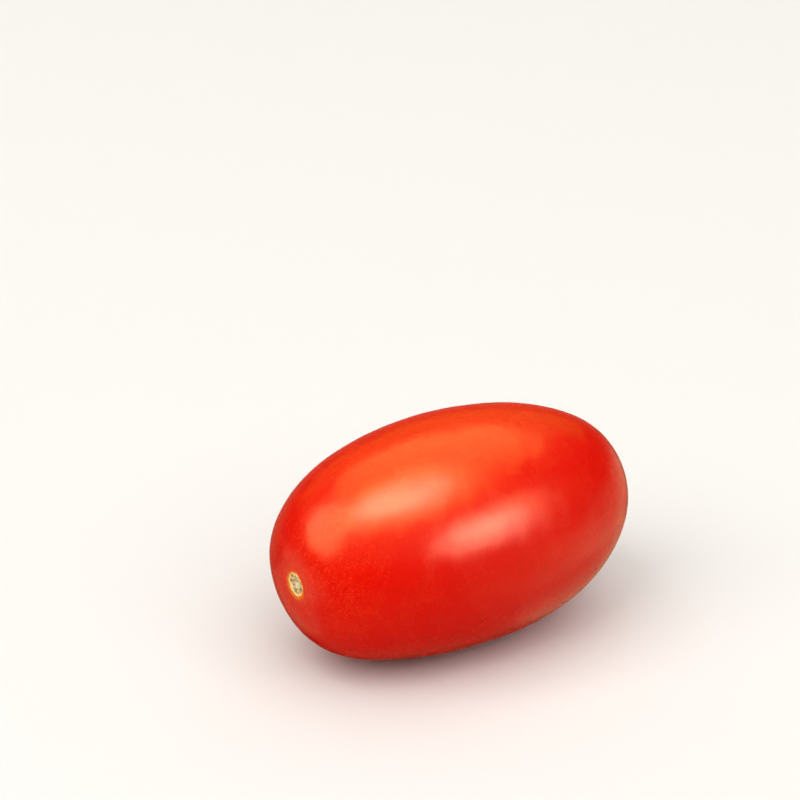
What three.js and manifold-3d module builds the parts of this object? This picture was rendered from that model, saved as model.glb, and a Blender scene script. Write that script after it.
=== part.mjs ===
// A plum tomato as picked, lying on its side: one fruit with its stem scar and its blossom scar.
// Lengths are in millimetres. +X runs along the fruit from the stem end to the blossom end, +Z is
// up, and the origin is on the surface that the fruit rests on, under the middle of its box.
import * as THREE from "three";
import { mergeVertices } from "three/addons/utils/BufferGeometryUtils.js";
import Module from "manifold-3d";

// The fruit: its size, and how full its two ends are. Its profile is a superellipse: place along
// the fruit to one power, plus radius to another, makes one. A higher radius power is a blunter end.
const LENGTH = 68;
const WIDTH = 41.5;
const HEIGHT = 40;
const STEM_END = { placePower: 2.04, radiusPower: 2.83 };
const BLOSSOM_END = { placePower: 1.96, radiusPower: 2.26 };
const END_BLEND = 2;

// Three seed chambers swell the skin into soft lobes, strongest at the stem end.
const LOBES = 3;
const LOBE_SWELL = 0.005;
const LOBE_TURN = THREE.MathUtils.degToRad(29);

// The centre line isn't straight: it sways in a shallow S, by these amounts across and upwards.
const SWAY_ACROSS = 0.82;
const SWAY_UP = 1.55;
const SWAY_RETURN = 0.6;

// The stem scar sits a little off the end's middle: a corky disc, sunk inside a low raised rim.
const SCAR_ACROSS = -1.22;
const SCAR_UP = 2.03;
const SCAR_PULL_REACH = 0.45;
const SCAR_RIM_RADIUS = 2.0;
const SCAR_RIM_WIDTH = 0.28;
const SCAR_RIM_HEIGHT = 0.14;
const SCAR_DISC_DEPTH = 0.16;
const SCAR_DISC_EDGE = 0.1;
const SCAR_SHOULDER_RADIUS = 3.4;
const SCAR_SHOULDER_DIP = 0.12;

// The blossom scar is a small nub in a faint dimple.
const NUB_RADIUS = 0.75;
const NUB_HEIGHT = 0.45;
const DIMPLE_RADIUS = 2.6;
const DIMPLE_DEPTH = 0.3;

// At rest the fruit lies on the flat spot under its centre of mass, its axis a little tilted.
const REST_TILT = THREE.MathUtils.degToRad(2.6);
const FLAT_SPOT_DEPTH = 0.42;

// How finely the skin is divided. The radii add rings where the two scars are.
const SIDES = 60;
const BODY_RINGS = 50;
const STEM_RING_RADII = [0, 0.8, 1.35, 1.6, 1.75, 1.88, 2.0, 2.12, 2.25, 2.45, 2.8, 3.4];
const BLOSSOM_RING_RADII = [0, 0.3, 0.55, 0.75, 0.95, 1.2, 1.6, 2.2];
const MERGE_DISTANCE = 1e-4;

const RADIUS = (WIDTH + HEIGHT) / 4;
const SKIN_COLOUR = 0xdc1e0a;

/** The profile's two powers at a place along the fruit, from -1 at the stem to 1. */
function powersAt(place) {
  const share = (1 + Math.tanh(END_BLEND * place)) / 2;
  return {
    place: THREE.MathUtils.lerp(STEM_END.placePower, BLOSSOM_END.placePower, share),
    radius: THREE.MathUtils.lerp(STEM_END.radiusPower, BLOSSOM_END.radiusPower, share),
  };
}

/** A bump of height 1 at the middle, falling to a third at the given width. */
function bump(offset, width) {
  return Math.exp(-((offset / width) ** 2));
}

/** How far the stem scar raises the end outwards, at a radius from its middle. */
function stemRelief(radius) {
  const rim = SCAR_RIM_HEIGHT * bump(radius - SCAR_RIM_RADIUS, SCAR_RIM_WIDTH);
  const discEdge = SCAR_RIM_RADIUS - SCAR_RIM_WIDTH - SCAR_DISC_EDGE;
  const outOfDisc = THREE.MathUtils.smoothstep(radius, discEdge, SCAR_RIM_RADIUS);
  return rim - SCAR_DISC_DEPTH * (1 - outOfDisc) - SCAR_SHOULDER_DIP * bump(radius, SCAR_SHOULDER_RADIUS);
}

/** How far the blossom scar raises its end outwards, at a radius from its middle. */
function blossomRelief(radius) {
  return NUB_HEIGHT * bump(radius, NUB_RADIUS) - DIMPLE_DEPTH * bump(radius, DIMPLE_RADIUS);
}

/** The profile's point at a place from -1 at the stem end to 1 at the blossom end. */
function profilePoint(place) {
  const powers = powersAt(place);
  const radius = RADIUS * (1 - Math.abs(place) ** powers.place) ** (1 / powers.radius);
  const relief = place < 0 ? -stemRelief(radius) : blossomRelief(radius);
  return new THREE.Vector2(radius, (place * LENGTH) / 2 + relief);
}

/** The place near one end, -1 or 1, at which the profile has a small radius. */
function placeAtRadius(radius, end) {
  const powers = powersAt(end);
  return end * (1 - (radius / RADIUS) ** powers.radius) ** (1 / powers.place);
}

/** The whole profile, on the axis at both ends, with extra rings at the scars. */
function profile() {
  const stem = STEM_RING_RADII.map((radius) => placeAtRadius(radius, -1));
  const blossom = BLOSSOM_RING_RADII.map((radius) => placeAtRadius(radius, 1)).reverse();
  const first = Math.acos(-stem[stem.length - 1]);
  const last = Math.acos(-blossom[0]);
  const body = [];
  for (let ring = 1; ring < BODY_RINGS; ring += 1) {
    body.push(-Math.cos(first + ((last - first) * ring) / BODY_RINGS));
  }
  return [...stem, ...body, ...blossom].map(profilePoint);
}

/** Turns the round lathed body into the fruit: an oval, lobed section on a swaying centre line. */
function shapeFruit(geometry) {
  const position = geometry.getAttribute("position");
  for (let i = 0; i < position.count; i += 1) {
    const along = position.getX(i);
    const across = position.getY(i);
    const up = position.getZ(i);
    const place = THREE.MathUtils.clamp((2 * along) / LENGTH, -1, 1);
    const radius = Math.hypot(across, up);
    const turn = Math.atan2(up, across);
    const stemShare = (1 - place) / 2;
    const swell = 1 + LOBE_SWELL * stemShare * Math.cos(LOBES * (turn - LOBE_TURN));
    const sway = place ** 3 - SWAY_RETURN * place;
    const pull = stemShare * bump(radius / RADIUS, SCAR_PULL_REACH);
    position.setXYZ(
      i,
      along,
      (across * swell * WIDTH) / 2 / RADIUS + SWAY_ACROSS * sway + SCAR_ACROSS * pull,
      (up * swell * HEIGHT) / 2 / RADIUS + SWAY_UP * sway + SCAR_UP * pull,
    );
  }
}

/** A closed mesh with shared vertices, without the triangles that the poles collapse. */
function closedMesh(geometry) {
  const bare = geometry.clone();
  bare.deleteAttribute("normal");
  bare.deleteAttribute("uv");
  const merged = mergeVertices(bare, MERGE_DISTANCE);
  const index = merged.getIndex().array;
  const triangles = [];
  for (let i = 0; i < index.length; i += 3) {
    const [a, b, c] = [index[i], index[i + 1], index[i + 2]];
    if (a !== b && b !== c && c !== a) triangles.push(a, b, c);
  }
  merged.setIndex(triangles);
  return merged;
}

const wasm = await Module();
wasm.setup();

/** The solid that a closed three.js mesh bounds. */
function toSolid(geometry) {
  const mesh = closedMesh(geometry);
  return new wasm.Manifold(
    new wasm.Mesh({
      numProp: 3,
      vertProperties: new Float32Array(mesh.getAttribute("position").array),
      triVerts: new Uint32Array(mesh.getIndex().array),
    }),
  );
}

/** A solid's surface as a three.js mesh with flat shaded triangles. */
function toGeometry(solid) {
  const mesh = solid.getMesh();
  const geometry = new THREE.BufferGeometry();
  geometry.setAttribute("position", new THREE.BufferAttribute(mesh.vertProperties, 3));
  geometry.setIndex(new THREE.BufferAttribute(mesh.triVerts, 1));
  geometry.computeVertexNormals();
  return geometry;
}

/** The fruit in its resting place, its flat spot at height zero. */
function fruitGeometry() {
  const body = new THREE.LatheGeometry(profile(), SIDES);
  body.rotateZ(-Math.PI / 2);
  shapeFruit(body);
  body.rotateY(-REST_TILT);
  body.computeBoundingBox();
  const box = body.boundingBox;
  const middle = box.getCenter(new THREE.Vector3());
  body.translate(-middle.x, -middle.y, -box.min.z - FLAT_SPOT_DEPTH);
  const below = new THREE.BoxGeometry(LENGTH, WIDTH, HEIGHT);
  below.translate(0, 0, -HEIGHT / 2);
  return toGeometry(toSolid(body).subtract(toSolid(below)));
}

const skin = new THREE.MeshStandardMaterial({ color: SKIN_COLOUR, roughness: 0.28, metalness: 0 });
const tomato = new THREE.Mesh(fruitGeometry(), skin);
tomato.name = "tomato";

const fruit = new THREE.Group();
fruit.add(tomato);

export default fruit;
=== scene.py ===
# %% [markdown]
# A plum tomato, lying on its side on a pale table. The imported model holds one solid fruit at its
# real size. This lesson dresses it: a fine skin that follows the same formula as the solid, the
# corky scar where the stem came off, and a waxy red finish, under plain studio light.

# %% The frame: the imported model, in metres
import math

import bpy
import numpy as np
from mathutils import Matrix, Vector


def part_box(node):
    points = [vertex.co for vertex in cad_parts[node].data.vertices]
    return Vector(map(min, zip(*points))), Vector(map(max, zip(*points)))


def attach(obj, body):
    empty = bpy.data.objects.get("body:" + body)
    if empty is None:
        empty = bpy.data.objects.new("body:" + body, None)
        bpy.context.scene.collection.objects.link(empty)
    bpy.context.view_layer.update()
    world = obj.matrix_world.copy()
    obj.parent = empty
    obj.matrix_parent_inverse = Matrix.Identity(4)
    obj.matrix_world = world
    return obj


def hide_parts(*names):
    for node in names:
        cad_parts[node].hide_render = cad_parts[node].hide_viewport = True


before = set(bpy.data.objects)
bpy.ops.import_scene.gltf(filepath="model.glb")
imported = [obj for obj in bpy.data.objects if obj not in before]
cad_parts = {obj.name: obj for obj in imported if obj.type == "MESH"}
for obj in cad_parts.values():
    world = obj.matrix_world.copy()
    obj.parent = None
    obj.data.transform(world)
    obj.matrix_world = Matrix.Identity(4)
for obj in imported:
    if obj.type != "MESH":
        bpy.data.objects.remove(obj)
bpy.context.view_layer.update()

MM = 0.001
fruit_low, fruit_high = (np.array(corner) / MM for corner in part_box("tomato"))
print("the solid fruit measures", np.round(fruit_high - fruit_low, 2), "mm")

# %% [markdown]
# The shape of a plum tomato is almost a barrel with round ends. One could sculpt it from a sphere,
# but a formula keeps it exact: a superellipse for the profile, blunter at the stem end, turned
# round an axis that sways in a shallow S. The numbers are those of the solid, in millimetres.

# %% The fruit's form, as a function of place and turn
LENGTH = 68.0
WIDTH = 41.5
HEIGHT = 40.0
RADIUS = (WIDTH + HEIGHT) / 4
PLACE_POWERS = (2.04, 1.96)
RADIUS_POWERS = (2.83, 2.26)
END_BLEND = 2.0
LOBES = 3
LOBE_SWELL = 0.005
LOBE_TURN = math.radians(29)
SWAY_ACROSS = 0.82
SWAY_UP = 1.55
SWAY_RETURN = 0.6
SCAR_ACROSS = -1.22
SCAR_UP = 2.03
SCAR_PULL_REACH = 0.45


def bump(offset, width):
    """A bell of height one: e to the power of minus the square of offset over width."""
    return np.exp(-((offset / width) ** 2))


def powers_at(place):
    """The profile's two powers, blended by a hyperbolic tangent from the stem end's to the tip's."""
    share = 0.5 + 0.5 * np.tanh(END_BLEND * place)
    return [low + (high - low) * share for low, high in (PLACE_POWERS, RADIUS_POWERS)]


def profile_radius(place):
    """Radius where |place| to the first power plus radius to the second power makes one."""
    place_power, radius_power = powers_at(place)
    return RADIUS * np.clip(1 - np.abs(place) ** place_power, 0, 1) ** (1 / radius_power)


def place_at_radius(radius, end):
    """The same formula turned round: the place near one end, -1 or 1, of a small radius."""
    place_power, radius_power = powers_at(end)
    return end * (1 - (radius / RADIUS) ** radius_power) ** (1 / place_power)


def fruit_points(place, turn, along):
    """Turns the profile round the axis: an oval section, swollen by three lobes, whose middle
    follows the swaying centre line and, near the stem end, the scar."""
    radius = profile_radius(place)
    stem_share = (1 - place) / 2
    swell = 1 + LOBE_SWELL * stem_share * np.cos(LOBES * (turn - LOBE_TURN))
    sway = place**3 - SWAY_RETURN * place
    pull = stem_share * bump(radius / RADIUS, SCAR_PULL_REACH)
    across = radius * swell * np.cos(turn) * WIDTH / 2 / RADIUS
    up = radius * swell * np.sin(turn) * HEIGHT / 2 / RADIUS
    across = across + SWAY_ACROSS * sway + SCAR_ACROSS * pull
    up = up + SWAY_UP * sway + SCAR_UP * pull
    return np.stack([along + 0 * turn, across, up], axis=-1)


print("the profile is", LENGTH, "mm long, with a mean radius of", RADIUS, "mm")

# %% [markdown]
# Two small things give a tomato away: the corky disc where the stalk let go, sunk inside a thin
# raised rim, and the nub that the flower left at the other end. They could be bump maps, but real
# relief catches the light better and stays in the mesh itself, so both are in the formula.

# %% The two scars, as relief along the axis
SCAR_RIM_RADIUS = 2.0
SCAR_RIM_WIDTH = 0.28
SCAR_RIM_HEIGHT = 0.14
SCAR_DISC_DEPTH = 0.16
SCAR_DISC_EDGE = 0.1
SCAR_SHOULDER_RADIUS = 3.4
SCAR_SHOULDER_DIP = 0.12
NUB_RADIUS = 0.75
NUB_HEIGHT = 0.45
DIMPLE_RADIUS = 2.6
DIMPLE_DEPTH = 0.3


def smooth_step(value, start, end):
    """Goes from nought to one between start and end, as three squares less two cubes."""
    share = np.clip((value - start) / (end - start), 0, 1)
    return share * share * (3 - 2 * share)


def stem_relief(radius):
    """The raised rim, less the sunken disc inside it and the faint dip of the shoulder."""
    rim = SCAR_RIM_HEIGHT * bump(radius - SCAR_RIM_RADIUS, SCAR_RIM_WIDTH)
    disc_edge = SCAR_RIM_RADIUS - SCAR_RIM_WIDTH - SCAR_DISC_EDGE
    disc = SCAR_DISC_DEPTH * (1 - smooth_step(radius, disc_edge, SCAR_RIM_RADIUS))
    return rim - disc - SCAR_SHOULDER_DIP * bump(radius, SCAR_SHOULDER_RADIUS)


def blossom_relief(radius):
    """A nub, standing in a wider dimple."""
    return NUB_HEIGHT * bump(radius, NUB_RADIUS) - DIMPLE_DEPTH * bump(radius, DIMPLE_RADIUS)


disc_step = stem_relief(SCAR_RIM_RADIUS) - stem_relief(0.0)
print("the scar's disc lies", round(float(disc_step), 3), "mm below its rim")

# %% [markdown]
# The skin is a grid of rows from pole to pole and columns round the fruit. Evenly spread rows
# would waste themselves on the plain middle, so a fifth of them crowd round the stem scar, where
# the detail is, and a tenth round the blossom scar.

# %% The grid of the skin
COLUMNS = 240
STEM_ROWS = 84
BODY_ROWS = 268
BLOSSOM_ROWS = 44
STEM_REACH = 3.4
BLOSSOM_REACH = 2.6

stem_places = place_at_radius(np.linspace(0, STEM_REACH, STEM_ROWS), -1.0)
blossom_places = place_at_radius(np.linspace(BLOSSOM_REACH, 0, BLOSSOM_ROWS), 1.0)
body_angles = np.linspace(np.arccos(-stem_places[-1]), np.arccos(-blossom_places[0]), BODY_ROWS + 2)
places = np.concatenate([stem_places, -np.cos(body_angles[1:-1]), blossom_places])[:, None]
turns = np.linspace(0, 2 * np.pi, COLUMNS, endpoint=False)[None, :]
radii = profile_radius(places)
print("the skin's grid has", len(places), "rows and", COLUMNS, "columns")

# %% [markdown]
# No fruit is perfectly smooth. A very low swell, about a centimetre long, a few hundredths of a
# millimetre high on average and a seventh of one at most, makes reflections wander as they do on
# real skin, and the cork has lumps of its own. Noise could come from a texture, but a seeded sum of
# waves can be laid on whole arrays.

# %% Swells in the skin and lumps in the cork
# Each swell or lump has a wavelength and an average height, in millimetres, and a seed. The lumps
# fade out between two distances inside the rim's radius.
SKIN_SWELLS = ((13.0, 0.035, 3), (4.5, 0.010, 7), (2.1, 0.004, 11))
CORK_LUMPS = ((0.95, 0.075, 21), (0.42, 0.03, 22))
WAVES = 28
CORK_FADE = (0.35, 0.1)
CALM_MARGIN = 1
SHORTEST_NORMAL = 1e-12


def soft_waves(points, wavelength, seed):
    """A sum of cosine waves of one length in random directions, scaled so that the root of its mean
    square is one."""
    rng = np.random.default_rng(seed)
    heading = rng.normal(size=(WAVES, 3))
    heading *= 2 * np.pi / wavelength / np.linalg.norm(heading, axis=1, keepdims=True)
    phase = rng.uniform(0, 2 * np.pi, WAVES)
    return np.cos(points @ heading.T + phase).sum(axis=-1) * math.sqrt(2 / WAVES)


def outward(points):
    """Unit normals of a grid that closes on itself round the fruit, by central differences."""
    down_rows = np.gradient(points, axis=0)
    round_columns = np.roll(points, -1, axis=1) - np.roll(points, 1, axis=1)
    normal = np.cross(round_columns, down_rows)
    length = np.linalg.norm(normal, axis=-1, keepdims=True)
    normal = normal / np.maximum(length, SHORTEST_NORMAL)
    normal[0] = (-1, 0, 0)
    normal[-1] = (1, 0, 0)
    middle = points.mean(axis=(0, 1))
    inward = ((points - middle) * normal).sum(axis=-1, keepdims=True) < 0
    return np.where(inward, -normal, normal)


relief = np.where(places < 0, -stem_relief(radii), blossom_relief(radii))
skin_points = fruit_points(places, turns, places * LENGTH / 2 + relief)
cork_start, cork_end = (SCAR_RIM_RADIUS - inside for inside in CORK_FADE)
on_cork = (places < 0) * (1 - smooth_step(radii, cork_start, cork_end))
on_skin = 1 - (places < 0) * bump(radii, SCAR_RIM_RADIUS + CALM_MARGIN)
swell = sum(height * soft_waves(skin_points, wave, seed) for wave, height, seed in SKIN_SWELLS)
lumps = sum(height * soft_waves(skin_points, wave, seed) for wave, height, seed in CORK_LUMPS)
skin_points = skin_points + outward(skin_points) * (swell * on_skin + lumps * on_cork)[..., None]
print("the skin swells by up to", round(float((swell * on_skin).max()), 3), "mm")
print("the cork's lumps reach", round(float((lumps * on_cork).max()), 3), "mm")

# %% [markdown]
# A fruit settles on its heaviest side and presses a small flat into its skin. The solid has that
# flat as a clean cut. On the skin the same height is reached through a soft curve, a softplus,
# which leaves no edge, and the result is laid into the solid's box.

# %% Lying down on the flat spot
REST_TILT = math.radians(2.6)
FLAT_SPOT_DEPTH = 0.42
FLAT_SPOT_SOFTNESS = 0.03


def lie_down(points):
    """Tilts the fruit about Y, so that its blossom end rises, and fits it into the solid's box, with
    its lowest point a little below the table."""
    x, y, z = np.moveaxis(points, -1, 0)
    along = x * math.cos(REST_TILT) - z * math.sin(REST_TILT)
    up = x * math.sin(REST_TILT) + z * math.cos(REST_TILT)
    laid = np.stack([along, y, up], axis=-1)
    low, high = laid.min(axis=(0, 1)), laid.max(axis=(0, 1))
    sunk = fruit_low - [0, 0, FLAT_SPOT_DEPTH]
    return sunk + (laid - low) * (fruit_high - sunk) / (high - low)


skin_points = lie_down(skin_points)
height = skin_points[..., 2]
skin_points[..., 2] = FLAT_SPOT_SOFTNESS * np.logaddexp(0, height / FLAT_SPOT_SOFTNESS)
stem_centre = skin_points[0, 0] * MM
blossom_centre = skin_points[-1, 0] * MM
print("the stem scar is at", np.round(skin_points[0, 0], 2), "mm")
print("the blossom scar is at", np.round(skin_points[-1, 0], 2), "mm")

# %% [markdown]
# The grid becomes a mesh: one vertex for each pole, a fan of triangles round it, and four-sided
# faces between. Its UV map is the grid itself, row by row, so the crowded rows of the scar also
# get a large share of any baked picture. A second layer stores the place along the fruit and the
# direction round its axis, from which the finish draws streaks that run from pole to pole.

# %% From grid to mesh


def grid_faces(rows, columns):
    """The row and the column of each face's corners: a fan round the stem's pole, the four-sided
    faces between, and a fan round the blossom's pole."""
    row, column = np.meshgrid(np.arange(1, rows - 2), np.arange(columns), indexing="ij")
    body_rows = np.stack([row, row + 1, row + 1, row], -1).reshape(-1, 4)
    body_columns = np.stack([column, column, column + 1, column + 1], -1).reshape(-1, 4)
    first, last = np.zeros(columns, int), np.full(columns, rows - 1)
    column = np.arange(columns)
    stem_rows = np.stack([first, first + 1, first + 1], -1)
    stem_columns = np.stack([column + 0.5, column, column + 1], -1)
    blossom_rows = np.stack([last, last - 1, last - 1], -1)
    blossom_columns = np.stack([column + 0.5, column + 1, column], -1)
    return [(stem_rows, stem_columns), (body_rows, body_columns), (blossom_rows, blossom_columns)]


def mesh_from_grid(name, points, layers):
    """Makes a closed mesh of a grid whose first and last rows are single points."""
    rows, columns = points.shape[:2]

    def number(row, column):
        """The vertex number of a grid place, where each pole's row is a single vertex."""
        inner = 1 + (row - 1) * columns + np.floor(column).astype(int) % columns
        return np.where(row == 0, 0, np.where(row == rows - 1, 1 + (rows - 2) * columns, inner))

    def flat(grid):
        """The grid's values as a list, with one value for each pole."""
        return np.concatenate([grid[0, :1], grid[1:-1].reshape(-1, grid.shape[-1]), grid[-1, :1]])

    faces, uvs = [], []
    for corner_rows, corner_columns in grid_faces(rows, columns):
        faces += number(corner_rows, corner_columns).tolist()
        uvs.append(np.stack([corner_columns / columns, corner_rows / (rows - 1)], -1).reshape(-1, 2))
    mesh = bpy.data.meshes.new(name)
    mesh.from_pydata((flat(points) * MM).tolist(), [], faces)
    mesh.uv_layers.new(name="OFBake").data.foreach_set("uv", np.concatenate(uvs).ravel())
    for layer, grid in layers.items():
        values = flat(np.broadcast_to(grid, points.shape)).ravel()
        mesh.attributes.new(layer, "FLOAT_VECTOR", "POINT").data.foreach_set("vector", values)
    mesh.polygons.foreach_set("use_smooth", np.ones(len(faces), bool))
    mesh.validate()
    mesh.update()
    return mesh


def enclosed_volume(mesh):
    """Sum over the triangles of corner dot (corner cross corner), over six: positive if they face
    outwards."""
    mesh.calc_loop_triangles()
    corners = np.empty(len(mesh.loop_triangles) * 3, np.int32)
    mesh.loop_triangles.foreach_get("vertices", corners)
    positions = np.empty(len(mesh.vertices) * 3)
    mesh.vertices.foreach_get("co", positions)
    a, b, c = positions.reshape(-1, 3)[corners.reshape(-1, 3)].transpose(1, 0, 2)
    return (a * np.cross(b, c)).sum() / 6


# %% The skin as an object
CM = 10 * MM

meridian = np.stack([places + 0 * turns, np.cos(turns) + 0 * places, np.sin(turns) + 0 * places], -1)
skin_mesh = mesh_from_grid("tomato_skin", skin_points, {"meridian": meridian})
if enclosed_volume(skin_mesh) < 0:
    skin_mesh.flip_normals()
tomato = bpy.data.objects.new("tomato_skin", skin_mesh)
bpy.context.scene.collection.objects.link(tomato)
print("the skin has", len(skin_mesh.loop_triangles), "triangles")
print("it holds", round(enclosed_volume(skin_mesh) / CM**3, 2), "cubic centimetres")

# %% [markdown]
# Finishes are written as formulas. A small class wraps a socket, so that adding or multiplying
# two of them adds the Math node that does it, and one method makes every other kind of node. It
# keeps the recipe readable, where chains of hand-placed nodes would hide it.

# %% A class for shader arithmetic


class Wire:
    """One output in a material's node tree, on which arithmetic adds Math nodes."""

    def __init__(self, finish, socket):
        self.finish = finish
        self.socket = socket

    def math(self, operation, *values):
        """The outcome of a Math node on the values."""
        operands = dict(enumerate(values))
        return self.finish.node("ShaderNodeMath", {"operation": operation}, operands)

    def __add__(self, other):
        return self.math("ADD", self, other)

    def __sub__(self, other):
        return self.math("SUBTRACT", self, other)

    def __rsub__(self, other):
        return self.math("SUBTRACT", other, self)

    def __mul__(self, other):
        return self.math("MULTIPLY", self, other)

    def __truediv__(self, other):
        return self.math("DIVIDE", self, other)

    __radd__ = __add__
    __rmul__ = __mul__

    def size(self):
        """The value without its sign."""
        return self.math("ABSOLUTE", self)

    def at_most(self, other):
        """The smaller of the two values."""
        return self.math("MINIMUM", self, other)

    def at_least(self, other):
        """The larger of the two values."""
        return self.math("MAXIMUM", self, other)

    def step(self, start, end):
        """Goes smoothly from nought at start to one at end."""
        settings = {"interpolation_type": "SMOOTHSTEP"}
        inputs = {"Value": self, "From Min": start, "From Max": end}
        return self.finish.node("ShaderNodeMapRange", settings, inputs)


# %% A class for a material


class Finish:
    """A material and the ways to add nodes to it."""

    def __init__(self, name):
        self.material = bpy.data.materials.new(name)
        self.material.use_nodes = True
        self.tree = self.material.node_tree
        self.tree.nodes.clear()

    def node(self, kind, settings=None, inputs=None, output=0):
        """Adds a node, sets its settings, then gives each named or numbered socket its value or link."""
        node = self.tree.nodes.new(kind)
        for name, value in (settings or {}).items():
            setattr(node, name, value)
        for key, value in (inputs or {}).items():
            by_identifier = {socket.identifier: socket for socket in node.inputs}
            socket = by_identifier.get(key) or node.inputs[key]
            if isinstance(value, Wire):
                self.tree.links.new(value.socket, socket)
            else:
                socket.default_value = value
        return Wire(self, node.outputs[output])

    def blend(self, share, first, second):
        """A colour between two colours."""
        colours = {"Factor_Float": share, "A_Color": first, "B_Color": second}
        return self.node("ShaderNodeMix", {"data_type": "RGBA"}, colours, output=2)

    def object_place(self):
        """The point's place in the object, in metres."""
        return self.node("ShaderNodeTexCoord", output=3)

    def scaled(self, vector, scale):
        """A vector with each axis multiplied by a factor of its own."""
        return self.node("ShaderNodeVectorMath", {"operation": "MULTIPLY"}, {0: vector, 1: scale})

    def distance(self, vector, point):
        """Distance from a point, in millimetres."""
        inputs = {0: vector, 1: point}
        return self.node("ShaderNodeVectorMath", {"operation": "DISTANCE"}, inputs, output=1) / MM

    def noise(self, vector, scale, detail=2.0, output=0):
        """Soft noise from about 0.3 to 0.7, or its colour, with a feature size of one over scale."""
        inputs = {"Vector": vector, "Scale": scale, "Detail": detail}
        return self.node("ShaderNodeTexNoise", None, inputs, output)

    def layer(self, vector, scale, detail, fade, strength):
        """Soft noise, faded in over a range of its values and given a strength."""
        return self.noise(vector, scale, detail).step(*fade) * strength

    def swing(self, vector, length, depth, detail=2.0):
        """Soft noise less a half, its middle value, times a depth."""
        return (self.noise(vector, 1 / length, detail) - 0.5) * depth

    def cells(self, vector, scale, feature="F1", output=0):
        """Distance to the nearest seed point of a random scatter, in cell sizes, or its colour."""
        inputs = {"Vector": vector, "Scale": scale}
        return self.node("ShaderNodeTexVoronoi", {"feature": feature}, inputs, output)

    def surface(self, inputs):
        """The Principled shader, on the material's output."""
        shader = self.node("ShaderNodeBsdfPrincipled", None, inputs)
        end = self.tree.nodes.new("ShaderNodeOutputMaterial")
        self.tree.links.new(shader.socket, end.inputs["Surface"])
        return self.material


# %% Colours as light
CURVE_KNEE = 0.04045
CURVE_SLOPE = 12.92
CURVE_OFFSET = 0.055
CURVE_POWER = 2.4


def linear(red, green, blue):
    """A colour given as display values from 0 to 255, made linear by the usual display curve: a
    straight line below the knee, and a power above it."""
    shown = np.array([red, green, blue]) / 255
    curved = ((shown + CURVE_OFFSET) / (1 + CURVE_OFFSET)) ** CURVE_POWER
    light = np.where(shown <= CURVE_KNEE, shown / CURVE_SLOPE, curved)
    return (*light.tolist(), 1.0)


print("a middle grey of 128 is", round(linear(128, 128, 128)[0], 3), "of the light of white")

# %% [markdown]
# Ripe tomato skin is a clear waxy film over deep red flesh. Its colour isn't even: long soft
# streaks run from pole to pole, the shoulder round the scar stays yellow longest, and fine pale
# freckles lie under the skin. A flat red would look like plastic, so each is a layer of its own.

# %% The red of the skin
DEEP_RED = (0.64, 0.0012, 0.0004, 1.0)
WARM_RED = (0.69, 0.0110, 0.0012, 1.0)
DARK_RED = (0.43, 0.0010, 0.0004, 1.0)
GRAIN_LENGTH = 0.26 * MM

# Patches and streaks are noise on the layer of places and directions, stretched by these factors.
PATCH_STRETCH = (1.0, 0.8, 0.8)
STREAK_STRETCH = (0.8, 6.0, 6.0)
PATCHES = {"scale": 1.7, "detail": 1.0, "fade": (0.36, 0.72), "strength": 0.14}
STREAKS = {"scale": 1.6, "detail": 3.0, "fade": (0.42, 0.75), "strength": 0.18}
MOTTLE = {"scale": 1 / (1.7 * MM), "detail": 3.0, "fade": (0.38, 0.70), "strength": 0.08}
DARK_GRAIN = {"scale": 1 / GRAIN_LENGTH, "detail": 2.0, "fade": (0.48, 0.70), "strength": 0.34}


def skin_red(finish, here, meridian):
    """Deep red, warmed by broad patches and by streaks that follow the meridians, with a fine grain."""
    patches = finish.layer(finish.scaled(meridian, PATCH_STRETCH), **PATCHES)
    streaks = finish.layer(finish.scaled(meridian, STREAK_STRETCH), **STREAKS)
    mottle = finish.layer(here, **MOTTLE)
    warm = finish.blend((patches + streaks + mottle).at_most(1.0), DEEP_RED, WARM_RED)
    return finish.blend(finish.layer(here, **DARK_GRAIN), warm, DARK_RED)


print("the warmest red has", round(WARM_RED[1] / DEEP_RED[1], 1), "times the green of the deepest")

# %% The freckles
FRECKLE = (0.84, 0.0560, 0.0090, 1.0)
FRECKLE_SPACING = 0.48 * MM
FRECKLE_SIZE = (0.08, 0.38)
FRECKLE_BEND = 0.25 * MM
FRECKLE_CHANCE = (0.40, 1.0)
FRECKLE_STRENGTH = 0.60
FLECKS = {"scale": 1 / (0.30 * MM), "detail": 2.0, "fade": (0.50, 0.70), "strength": 0.55}
DRIFTS = {"scale": 1 / (7.0 * MM), "detail": 1.0, "fade": (0.35, 0.65), "strength": 0.5}
SCAR_DRIFT_REACH = (6.0, 26.0)
SCAR_DRIFT_STRENGTH = 0.5
DRIFT_LEAST = 0.2


def freckles(finish, here, scar):
    """A fine pale grain, and small dots at random seeds, each as strong as its own random number, in
    loose drifts that are thickest near the stem scar."""
    bend = finish.noise(here, 1 / GRAIN_LENGTH, 1.0, output=1)
    inputs = {0: bend, 1: (FRECKLE_BEND,) * 3, 2: here}
    bent = finish.node("ShaderNodeVectorMath", {"operation": "MULTIPLY_ADD"}, inputs)
    dots = 1 - finish.cells(bent, 1 / FRECKLE_SPACING).step(*FRECKLE_SIZE)
    tone = finish.cells(bent, 1 / FRECKLE_SPACING, output=1)
    chance = finish.node("ShaderNodeSeparateColor", None, {"Color": tone}).step(*FRECKLE_CHANCE)
    near_scar = (1 - scar.step(*SCAR_DRIFT_REACH)) * SCAR_DRIFT_STRENGTH
    drift = (finish.layer(here, **DRIFTS) + near_scar).at_least(DRIFT_LEAST)
    return (finish.layer(here, **FLECKS) + dots * chance * FRECKLE_STRENGTH) * drift


print("about", round((MM / FRECKLE_SPACING) ** 2, 1), "freckles can lie on each square millimetre")

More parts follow.
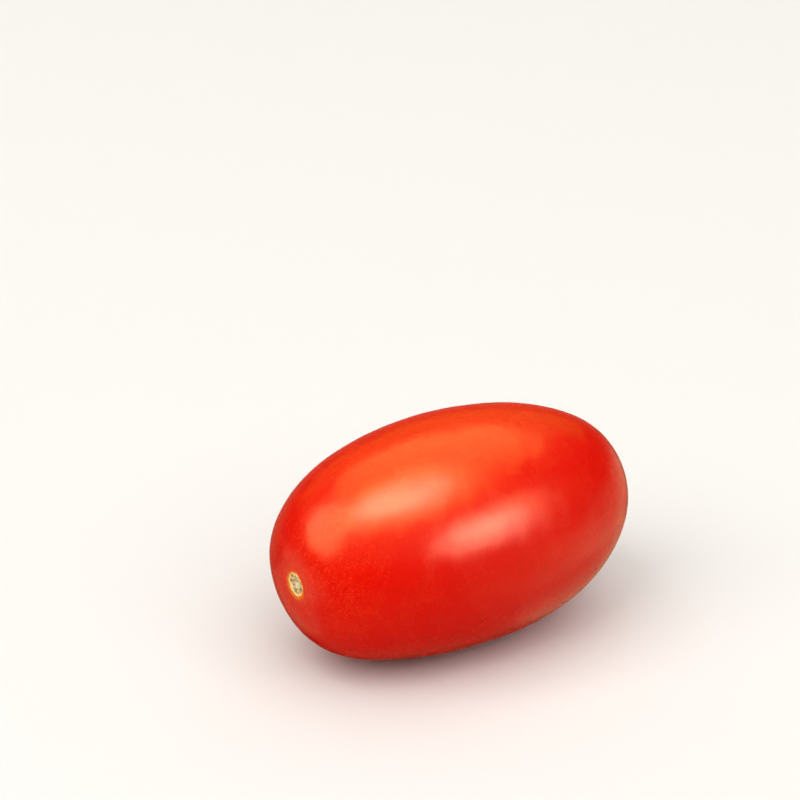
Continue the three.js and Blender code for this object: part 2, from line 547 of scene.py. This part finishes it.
# %% [markdown]
# Where the stalk let go, the fruit closed the wound with cork: cream islands with olive cracks
# between, brown dots in a loose ring where the sap vessels ended, and a thin pale rim. Round it
# the skin stayed yellow, most on the side that lay in the shade.

# %% The cork
CORK_CREAM = linear(222, 206, 160)
CORK_TAN = linear(184, 150, 106)
CORK_OLIVE = linear(136, 110, 54)
CORK_BROWN = linear(120, 76, 40)
ISLANDS = {"scale": 1 / (0.8 * MM), "detail": 3.0, "fade": (0.42, 0.66), "strength": 1.0}
CRACK_SPACING = 1.45 * MM
CRACK_FADE = (0.01, 0.09)
CRACK_STRENGTH = 0.70
RAGGED_LENGTH = 0.5 * MM
RAGGED_DEPTH = 0.5

# Each vessel end has an angle in degrees, and a distance from the middle and a size in millimetres.
VESSEL_ENDS = (
    (-1, 1.60, 0.36), (33, 1.66, 0.42), (-36, 1.10, 0.44), (170, 1.42, 0.36), (227, 1.24, 0.48),
    (-77, 1.46, 0.32), (88, 1.00, 0.24),
)
VESSEL_CORE = 0.4
VESSEL_STRENGTH = 0.75


def cork(finish, here):
    """Cream and tan islands, parted by olive cracks, with brown vessel ends in a loose ring."""
    islands = finish.blend(finish.layer(here, **ISLANDS), CORK_CREAM, CORK_TAN)
    edges = finish.cells(here, 1 / CRACK_SPACING, "DISTANCE_TO_EDGE")
    surface = finish.blend((1 - edges.step(*CRACK_FADE)) * CRACK_STRENGTH, islands, CORK_OLIVE)
    ragged = finish.swing(here, RAGGED_LENGTH, RAGGED_DEPTH)
    ends = 0.0
    for angle, radius, size in VESSEL_ENDS:
        turn = math.radians(angle)
        centre = stem_centre + np.array([0, math.cos(turn), math.sin(turn)]) * radius * MM
        distance = finish.distance(here, tuple(centre)) + ragged
        ends = (1 - distance.step(size * VESSEL_CORE, size)).at_least(ends)
    return finish.blend(ends * VESSEL_STRENGTH, surface, CORK_BROWN)


print("the cork shows", len(VESSEL_ENDS), "vessel ends")

# %% The stem scar and what surrounds it
SHOULDER_ORANGE = linear(216, 78, 20)
SHOULDER_REACH = (2.2, 4.2)
SHOULDER_WOBBLE = 3
SHOULDER_STRENGTH = 0.22
HALO_YELLOW = linear(222, 124, 16)
HALO_SHIFT = (0.0, 0.32, -0.42)
HALO_REACH = (2.05, 2.75)
HALO_WOBBLE = 2
HALO_STRENGTH = 0.9
RIM_CREAM = linear(246, 200, 128)
RIM_RADIUS = 1.92
RIM_HALF_WIDTH = 0.085
RIM_FADE = (RIM_HALF_WIDTH * 0.5, RIM_HALF_WIDTH * 1.5)
RIM_STRENGTH = 0.95


def stem_scar(finish, here, scar, wobble, skin):
    """Lays the orange shoulder, the yellow halo, the cork and the rim over the skin, by the distance
    from the scar's middle. Gives the colour, and the masks of the disc and the rim."""
    shoulder = 1 - (scar + wobble * SHOULDER_WOBBLE).step(*SHOULDER_REACH)
    skin = finish.blend(shoulder * SHOULDER_STRENGTH, skin, SHOULDER_ORANGE)
    halo_centre = tuple(stem_centre + np.array(HALO_SHIFT) * MM)
    halo = 1 - (finish.distance(here, halo_centre) + wobble * HALO_WOBBLE).step(*HALO_REACH)
    skin = finish.blend(halo * HALO_STRENGTH, skin, HALO_YELLOW)
    disc = 1 - (scar + wobble).step(RIM_RADIUS - RIM_HALF_WIDTH, RIM_RADIUS)
    skin = finish.blend(disc, skin, cork(finish, here))
    rim = 1 - (scar + wobble - RIM_RADIUS).size().step(*RIM_FADE)
    return finish.blend(rim * RIM_STRENGTH, skin, RIM_CREAM), disc, rim


print("the scar's rim is", round(2 * RIM_RADIUS, 2), "mm across and", 2 * RIM_HALF_WIDTH, "mm wide")

# %% [markdown]
# At the other end the flower left a dry tan nub. It is small, but a fruit without it looks blank
# from that side. It needs two distances from the pole: one for the nub and one for the orange
# skin round it.

# %% The mark of the flower
BLOSSOM_TAN = linear(176, 116, 58)
NUB_REACH = (0.35, 0.7)
NUB_STRENGTH = 0.9
TIP_ORANGE_REACH = (0.5, 1.6)
TIP_ORANGE_STRENGTH = 0.6


def flower_mark(finish, here, wobble, skin):
    """Lays a ring of orange and the tan nub over the skin. Gives the colour and the nub's mask."""
    tip = finish.distance(here, tuple(blossom_centre)) + wobble
    orange = (1 - tip.step(*TIP_ORANGE_REACH)) * TIP_ORANGE_STRENGTH
    skin = finish.blend(orange, skin, SHOULDER_ORANGE)
    nub = 1 - tip.step(*NUB_REACH)
    return finish.blend(nub * NUB_STRENGTH, skin, BLOSSOM_TAN), nub


print("the nub of the flower is about", 2 * NUB_REACH[1], "mm across")

# %% [markdown]
# The finish puts the layers together. Light sinks a millimetre or two into the flesh before it
# comes back, so the shader scatters under the surface. The wax is glossy but not mirror-like, and
# its fine dimples break up the highlights. They are far too low for the mesh, so they are a bump.
# The cork is dull. The gloss is tinted, which real wax isn't: it shares in matching the warm
# highlights of the photograph, and under other lights it may look warmer than a real fruit's.

# %% The fine relief
PEEL_LENGTH = 0.9 * MM
PEEL_HEIGHT = 0.010
GRAIN_HEIGHT = 0.011
PIT_SPACING = 0.60 * MM
PIT_SIZE = 0.22
PIT_HEIGHT = 0.011
GRIT_LENGTH = 0.16 * MM
GRIT_HEIGHT = 0.05


def fine_relief(finish, here, dull):
    """Peel, grain and pits where the wax is, and grit where it is dull, as a height in millimetres."""
    peel = finish.noise(here, 1 / PEEL_LENGTH) * PEEL_HEIGHT
    grain = finish.noise(here, 1 / GRAIN_LENGTH) * GRAIN_HEIGHT
    pits = finish.cells(here, 1 / PIT_SPACING).step(0.0, PIT_SIZE) * PIT_HEIGHT
    grit = finish.noise(here, 1 / GRIT_LENGTH) * GRIT_HEIGHT
    height = (peel + grain + pits) * (1 - dull) + grit * dull
    return finish.node("ShaderNodeBump", None, {"Strength": 1.0, "Distance": MM, "Height": height})


print("the wax's relief is up to", round(PEEL_HEIGHT + GRAIN_HEIGHT + PIT_HEIGHT, 3), "mm high")

# %% The whole finish
SKIN_ROUGHNESS = 0.27
CORK_ROUGHNESS = 0.85
RIM_DULLNESS = 0.7
GLOSS_LENGTH = 3.5 * MM
GLOSS_CHANGE = 0.12
WOBBLE_LENGTH = 0.9 * MM
WOBBLE_DEPTH = 0.4
WAX_IOR = 1.30
WAX_TINT = (1.0, 0.50, 0.24, 1.0)
FLESH_SHARE = 0.30
FLESH_REACH = (1.0, 0.25, 0.10)
FLESH_DEPTH = 2.2 * MM


def tomato_finish():
    """The skin, its freckles, the halo, rim and cork of the stem scar, and the mark of the flower."""
    finish = Finish("tomato_skin")
    here = finish.object_place()
    meridian = finish.node("ShaderNodeAttribute", {"attribute_name": "meridian"}, output=1)
    wobble = finish.swing(here, WOBBLE_LENGTH, WOBBLE_DEPTH)
    scar = finish.distance(here, tuple(stem_centre))
    skin = skin_red(finish, here, meridian)
    skin = finish.blend(freckles(finish, here, scar), skin, FRECKLE)
    skin, disc, rim = stem_scar(finish, here, scar, wobble, skin)
    skin, nub = flower_mark(finish, here, wobble, skin)
    dull = (disc + rim * RIM_DULLNESS + nub).at_most(1.0)
    gloss = finish.swing(here, GLOSS_LENGTH, GLOSS_CHANGE, 3.0)
    return finish.surface({
        "Base Color": skin,
        "Roughness": (SKIN_ROUGHNESS + gloss) * (1 - dull) + dull * CORK_ROUGHNESS,
        "Normal": fine_relief(finish, here, dull),
        "IOR": WAX_IOR,
        "Specular Tint": WAX_TINT,
        "Subsurface Weight": FLESH_SHARE,
        "Subsurface Radius": FLESH_REACH,
        "Subsurface Scale": FLESH_DEPTH,
    })


skin_mesh.materials.append(tomato_finish())
print("the finish has", len(skin_mesh.materials[0].node_tree.nodes), "nodes")
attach(tomato, "root")
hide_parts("tomato")

# %% [markdown]
# The fruit lies on a plain pale table. A disc much larger than the view stands for it, dull and
# a little warm, so that it takes the soft shadow and throws pale light up under the fruit. It is
# hidden from reflections and stops no light, because panels under it stand for its reflection.

# %% The table
TABLE_RADIUS = 3.0
TABLE_COLOUR = (0.690, 0.671, 0.635, 1.0)
TABLE_SIDES = 96


def table_mesh():
    """A flat disc: a centre point and a ring of points at equal angles round it."""
    around = np.linspace(0, 2 * np.pi, TABLE_SIDES, endpoint=False)
    ring = np.stack([np.cos(around), np.sin(around), 0 * around], -1) * TABLE_RADIUS
    faces = [(0, 1 + side, 1 + (side + 1) % TABLE_SIDES) for side in range(TABLE_SIDES)]
    mesh = bpy.data.meshes.new("table")
    mesh.from_pydata([(0, 0, 0), *ring.tolist()], [], faces)
    return mesh


table = bpy.data.objects.new("table", table_mesh())
bpy.context.scene.collection.objects.link(table)
table_finish = Finish("table_paper")
table.data.materials.append(table_finish.surface({
    "Base Color": TABLE_COLOUR, "Roughness": 1.0, "Specular IOR Level": 0.0,
}))
table.visible_glossy = False
table.visible_shadow = False
print("the table is", 2 * TABLE_RADIUS, "m across")

# %% [markdown]
# The camera stands where the photograph was taken from: to the front left and a little above, with
# a long lens. Its place was worked out from the fruit's outline and the scar's place in the
# photograph, so the render shows the same view. It looks at a point above and behind the fruit's
# middle, because the fruit lies low in the picture.

# %% The camera
VIEW_AZIMUTH = -37.74
VIEW_ELEVATION = 24.25
VIEW_ROLL = 2.28
VIEW_DISTANCE = 379.1
VIEW_TARGET = (-2.78, 13.21, 38.95)
LENS = 100.0
SENSOR = 36.0
SIGHT_RANGE = (0.01, 50.0)


def direction(azimuth, elevation):
    """The unit vector towards a place at these angles: azimuth 0 is -Y, and 90 is +X."""
    a, e = math.radians(azimuth), math.radians(elevation)
    return Vector((math.sin(a) * math.cos(e), -math.cos(a) * math.cos(e), math.sin(e)))


camera_data = bpy.data.cameras.new("camera")
camera_data.lens = LENS
camera_data.sensor_width = SENSOR
camera_data.clip_start, camera_data.clip_end = SIGHT_RANGE
camera = bpy.data.objects.new("camera", camera_data)
bpy.context.scene.collection.objects.link(camera)
toward_camera = direction(VIEW_AZIMUTH, VIEW_ELEVATION)
camera.location = (Vector(VIEW_TARGET) + toward_camera * VIEW_DISTANCE) * MM
upright = (-toward_camera).to_track_quat("-Z", "Y").to_matrix()
camera.rotation_euler = (upright @ Matrix.Rotation(math.radians(VIEW_ROLL), 3, "Z")).to_euler()
bpy.context.scene.camera = camera
print("the camera stands at", [round(v, 3) for v in camera.location], "m")

# %% [markdown]
# The light is that of a small product studio: softboxes all round and one overhead. Those that
# light the table and the fruit are hidden from reflections, and a second set is seen by the wax
# alone, so that the highlights can be set without changing the soft shadow. That set is a long
# bright strip overhead with a tail to the left, a box to the front right with a glowing middle, and
# a dim warm backdrop. Dim panels below the table stand for the table's own reflection, and one
# behind it for the sheen along the fruit's edge. A pale world fills the view past the table.
#
# The strengths were first fitted to the photograph by least squares, from one render for each
# light, and then rounded and corrected. The colours were chosen for the same match. So they
# suit this view, and another scene would start from plain white lights.

# %% The lights
STUDIO_REACH = 4.0
FRUIT_MIDDLE = Vector((0.0, 0.0, HEIGHT / 2 * MM))
OVAL_SHARE = math.pi / 4
PAPER_WHITE = (1.0, 1.0, 1.0)
COOL_WHITE = (0.82, 0.80, 1.0)
WARM_WHITE = (1.0, 0.97, 0.62)
TABLE_WHITE = (1.0, 0.96, 0.56)
STRAW = (1.0, 1.0, 0.25)
LEMON = (1.0, 1.0, 0.14)


def softbox(name, azimuth, elevation, spread, radiance, colour, reflected):
    """A light that faces the fruit and spans two angles seen from it, in degrees. Its power is its
    radiance times its area times pi. A rectangle lights the surfaces. An oval, which has no corners
    to show in the wax, lights the reflections."""
    data = bpy.data.lights.new(name, "AREA")
    data.shape = "ELLIPSE" if reflected else "RECTANGLE"
    data.size, data.size_y = (2 * STUDIO_REACH * math.tan(math.radians(angle / 2)) for angle in spread)
    area = data.size * data.size_y * (OVAL_SHARE if reflected else 1)
    data.energy = radiance * math.pi * area
    data.color = colour
    lamp = bpy.data.objects.new(name, data)
    bpy.context.scene.collection.objects.link(lamp)
    toward = direction(azimuth, elevation)
    lamp.location = FRUIT_MIDDLE + toward * STUDIO_REACH
    lamp.rotation_euler = toward.to_track_quat("Z", "Y").to_euler()
    lamp.visible_diffuse = not reflected
    lamp.visible_glossy = reflected
    lamp.visible_camera = False


# Each light has a name, an azimuth, an elevation and two spreads in degrees, a radiance and a colour.
ROOM_LIGHTS = (
    ("overhead", 0, 88, (50, 50), 1.54, PAPER_WHITE),
    ("left_window", -90, 45, (45, 45), 3.48, PAPER_WHITE),
    ("front_left", -45, 45, (45, 45), 1.22, PAPER_WHITE),
    ("front", 0, 45, (45, 45), 2.0, PAPER_WHITE),
    ("right", 68, 45, (80, 45), 0.65, PAPER_WHITE),
    ("back", 158, 45, (80, 45), 0.75, PAPER_WHITE),
)
WAX_LIGHTS = (
    ("strip", -40, 83, (46, 28), 43.0, PAPER_WHITE),
    ("strip_core", -40, 83, (24, 11), 4.0, PAPER_WHITE),
    ("strip_wide", -40, 83, (68, 50), 12.4, LEMON),
    ("strip_tail", -117, 42, (48, 44), 14.2, WARM_WHITE),
    ("high_back", 143, 61, (70, 46), 5.6, STRAW),
    ("low_back", 152, 27, (86, 36), 0.58, LEMON),
    ("right_box", 21, 24, (28, 31), 32.0, COOL_WHITE),
    ("right_box_core", 22, 27, (15, 15), 20.0, PAPER_WHITE),
    ("right_box_side", 40, 31, (19, 21), 11.5, WARM_WHITE),
    ("table_glow_left", -120, -20, (60, 32), 1.2, TABLE_WHITE),
    ("table_glow_back", -152, -42, (52, 30), 0.42, TABLE_WHITE),
    ("table_glow_right", 82, -40, (68, 34), 0.42, TABLE_WHITE),
    ("table_glow_side", 78, -14, (78, 30), 0.60, TABLE_WHITE),
    ("table_glow_front", 45, -22, (54, 32), 0.86, TABLE_WHITE),
    ("table_glow_below", 0, -75, (100, 100), 0.12, TABLE_WHITE),
    ("edge_sheen", 135, -20, (110, 44), 0.20, TABLE_WHITE),
)

for light in ROOM_LIGHTS:
    softbox(*light, reflected=False)
for light in WAX_LIGHTS:
    softbox(*light, reflected=True)
print(len(ROOM_LIGHTS), "lights for the room and", len(WAX_LIGHTS), "for the wax")

# %% The backdrop
BACKDROP_COLOUR = (1.0, 0.985, 0.96, 1.0)
BACKDROP_STRENGTH = 1.0

world = bpy.data.worlds.new("studio")
bpy.context.scene.world = world
world.use_nodes = True
background = world.node_tree.nodes["Background"]
background.inputs["Color"].default_value = BACKDROP_COLOUR
background.inputs["Strength"].default_value = BACKDROP_STRENGTH
world.cycles_visibility.diffuse = False
world.cycles_visibility.glossy = False
bpy.context.scene.view_settings.view_transform = "Standard"
print("the backdrop's colour is", BACKDROP_COLOUR[:3])
